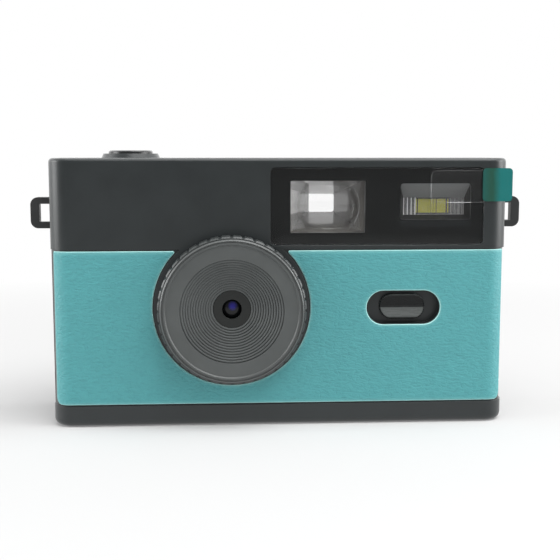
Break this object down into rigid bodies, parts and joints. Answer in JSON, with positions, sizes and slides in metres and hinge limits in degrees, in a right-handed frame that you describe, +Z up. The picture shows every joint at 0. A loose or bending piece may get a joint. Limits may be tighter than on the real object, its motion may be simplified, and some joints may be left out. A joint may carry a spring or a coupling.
{
  "type": "retro digital camera",
  "caption": "Compact black camera with a teal leatherette band, knurled lens ring, see-through viewfinder, LED flash window, sliding flash switch and shutter button",
  "frame": {"origin": "middle of the base: the centre of the bounding box at its lowest level", "axes": "+X to the right as the front is looked at, -Y out of the front, +Z up"},
  "size_m": [0.1306, 0.0362, 0.0711],
  "materials": {
    "case_black": "fine satin moulding",
    "leather_teal": "fine creased leatherette",
    "clear_panel": "polished clear acrylic",
    "mask_black": "black print under gloss",
    "film_clear": "thin clear film",
    "tab_green": "translucent green film",
    "optic_clear": "polished clear acrylic",
    "finder_grey": "satin grey inside",
    "eyepiece_black": "satin",
    "reflector_grey": "satin metallised",
    "led_yellow": "silicone with phosphor",
    "board_green": "solder mask",
    "ring_black": "satin",
    "cone_black": "satin",
    "barrel_black": "satin",
    "lens_glass": "coated glass",
    "filter_glass": "coated glass",
    "chip_black": "moulded epoxy",
    "button_black": "polished",
    "steel": "plain",
    "screw_black": "black oxide",
    "brass": "turned",
    "battery_foil": "laminated foil",
    "white_plastic": "moulded",
    "screen_dark": "dark glass",
    "light_pipe": "milky acrylic",
    "card_black": "fine matt"
  },
  "bodies": {
    "case": {"front_cover": "case_black", "rear_cover": "case_black", "leather_skin": "leather_teal", "window_panel": "clear_panel", "panel_mask": "mask_black", "protective_film": "film_clear", "film_pull_tab": "tab_green", "viewfinder_front_lens": "optic_clear", "viewfinder_tube": "finder_grey", "viewfinder_rear_lens": "optic_clear", "eyepiece_frame": "eyepiece_black", "flash_reflector": "reflector_grey", "flash_lens": "optic_clear", "flash_leds": "led_yellow", "flash_board": "board_green", "lens_mount": "barrel_black", "lens_holder": "barrel_black", "ir_filter": "filter_glass", "image_sensor": "chip_black", "slide_switch": "steel", "shutter_bezel": "case_black", "shutter_spring": "steel", "shutter_switch": "chip_black", "shutter_board": "board_green", "main_board": "board_green", "battery": "battery_foil", "battery_connector": "white_plastic", "processor_chip": "chip_black", "memory_chip": "chip_black", "usb_port": "steel", "card_socket": "steel", "lcd_module": "chip_black", "lcd_window": "screen_dark", "key_board": "board_green", "key_switches": "chip_black", "status_light": "light_pipe", "strap_lug_left": "eyepiece_black", "strap_lug_right": "eyepiece_black", "tripod_socket": "brass", "case_screws": "screw_black", "board_screws": "steel", "key_board_screws": "steel"},
    "shutter": {"shutter_button": "button_black", "shutter_clip": "steel"},
    "flash_switch": {"flash_switch_knob": "button_black", "switch_lever": "white_plastic"},
    "focus": {"focus_ring": "ring_black", "lens_cone": "cone_black"},
    "barrel": {"lens_barrel": "barrel_black", "lens_front_element": "lens_glass", "lens_spacer": "barrel_black", "lens_rear_element": "lens_glass"},
    "card": {"memory_card": "card_black"},
    "menu": {"menu_key": "button_black"},
    "down": {"down_key": "button_black"},
    "up": {"up_key": "button_black"},
    "playback": {"playback_key": "button_black"},
    "power": {"power_key": "button_black"}
  },
  "joints": [
    {"name": "shutter_press", "type": "slide", "parent": "case", "child": "shutter", "axis": [0, 0, -1], "range_m": [0, 0.0008], "stiffness_N_per_m": 900, "deforming": ["shutter_spring"]},
    {"name": "flash_switch_slide", "type": "slide", "parent": "case", "child": "flash_switch", "axis": [1, 0, 0], "range_m": [-0.0028, 0.0028]},
    {"name": "focus_turn", "type": "hinge", "parent": "case", "child": "focus", "pos_m": [-0.01265, -0.01085, 0.031], "axis": [0, 1, 0], "range_deg": [0, 90]},
    {"name": "barrel_slide", "type": "slide", "parent": "case", "child": "barrel", "axis": [0, -1, 0], "range_m": [0, 0.00045]},
    {"name": "card_slide", "type": "slide", "parent": "case", "child": "card", "axis": [1, 0, 0], "range_m": [0, 0.012]},
    {"name": "menu_press", "type": "slide", "parent": "case", "child": "menu", "axis": [0, -1, 0], "range_m": [0, 0.00035], "stiffness_N_per_m": 700},
    {"name": "down_press", "type": "slide", "parent": "case", "child": "down", "axis": [0, -1, 0], "range_m": [0, 0.00035], "stiffness_N_per_m": 700},
    {"name": "up_press", "type": "slide", "parent": "case", "child": "up", "axis": [0, -1, 0], "range_m": [0, 0.00035], "stiffness_N_per_m": 700},
    {"name": "playback_press", "type": "slide", "parent": "case", "child": "playback", "axis": [0, -1, 0], "range_m": [0, 0.00035], "stiffness_N_per_m": 700},
    {"name": "power_press", "type": "slide", "parent": "case", "child": "power", "axis": [0, -1, 0], "range_m": [0, 0.00035], "stiffness_N_per_m": 700}
  ],
  "couplings": [
    {"joint": "barrel_slide", "follows": "focus_turn", "m_per_rad": 0.000286}
  ]
}
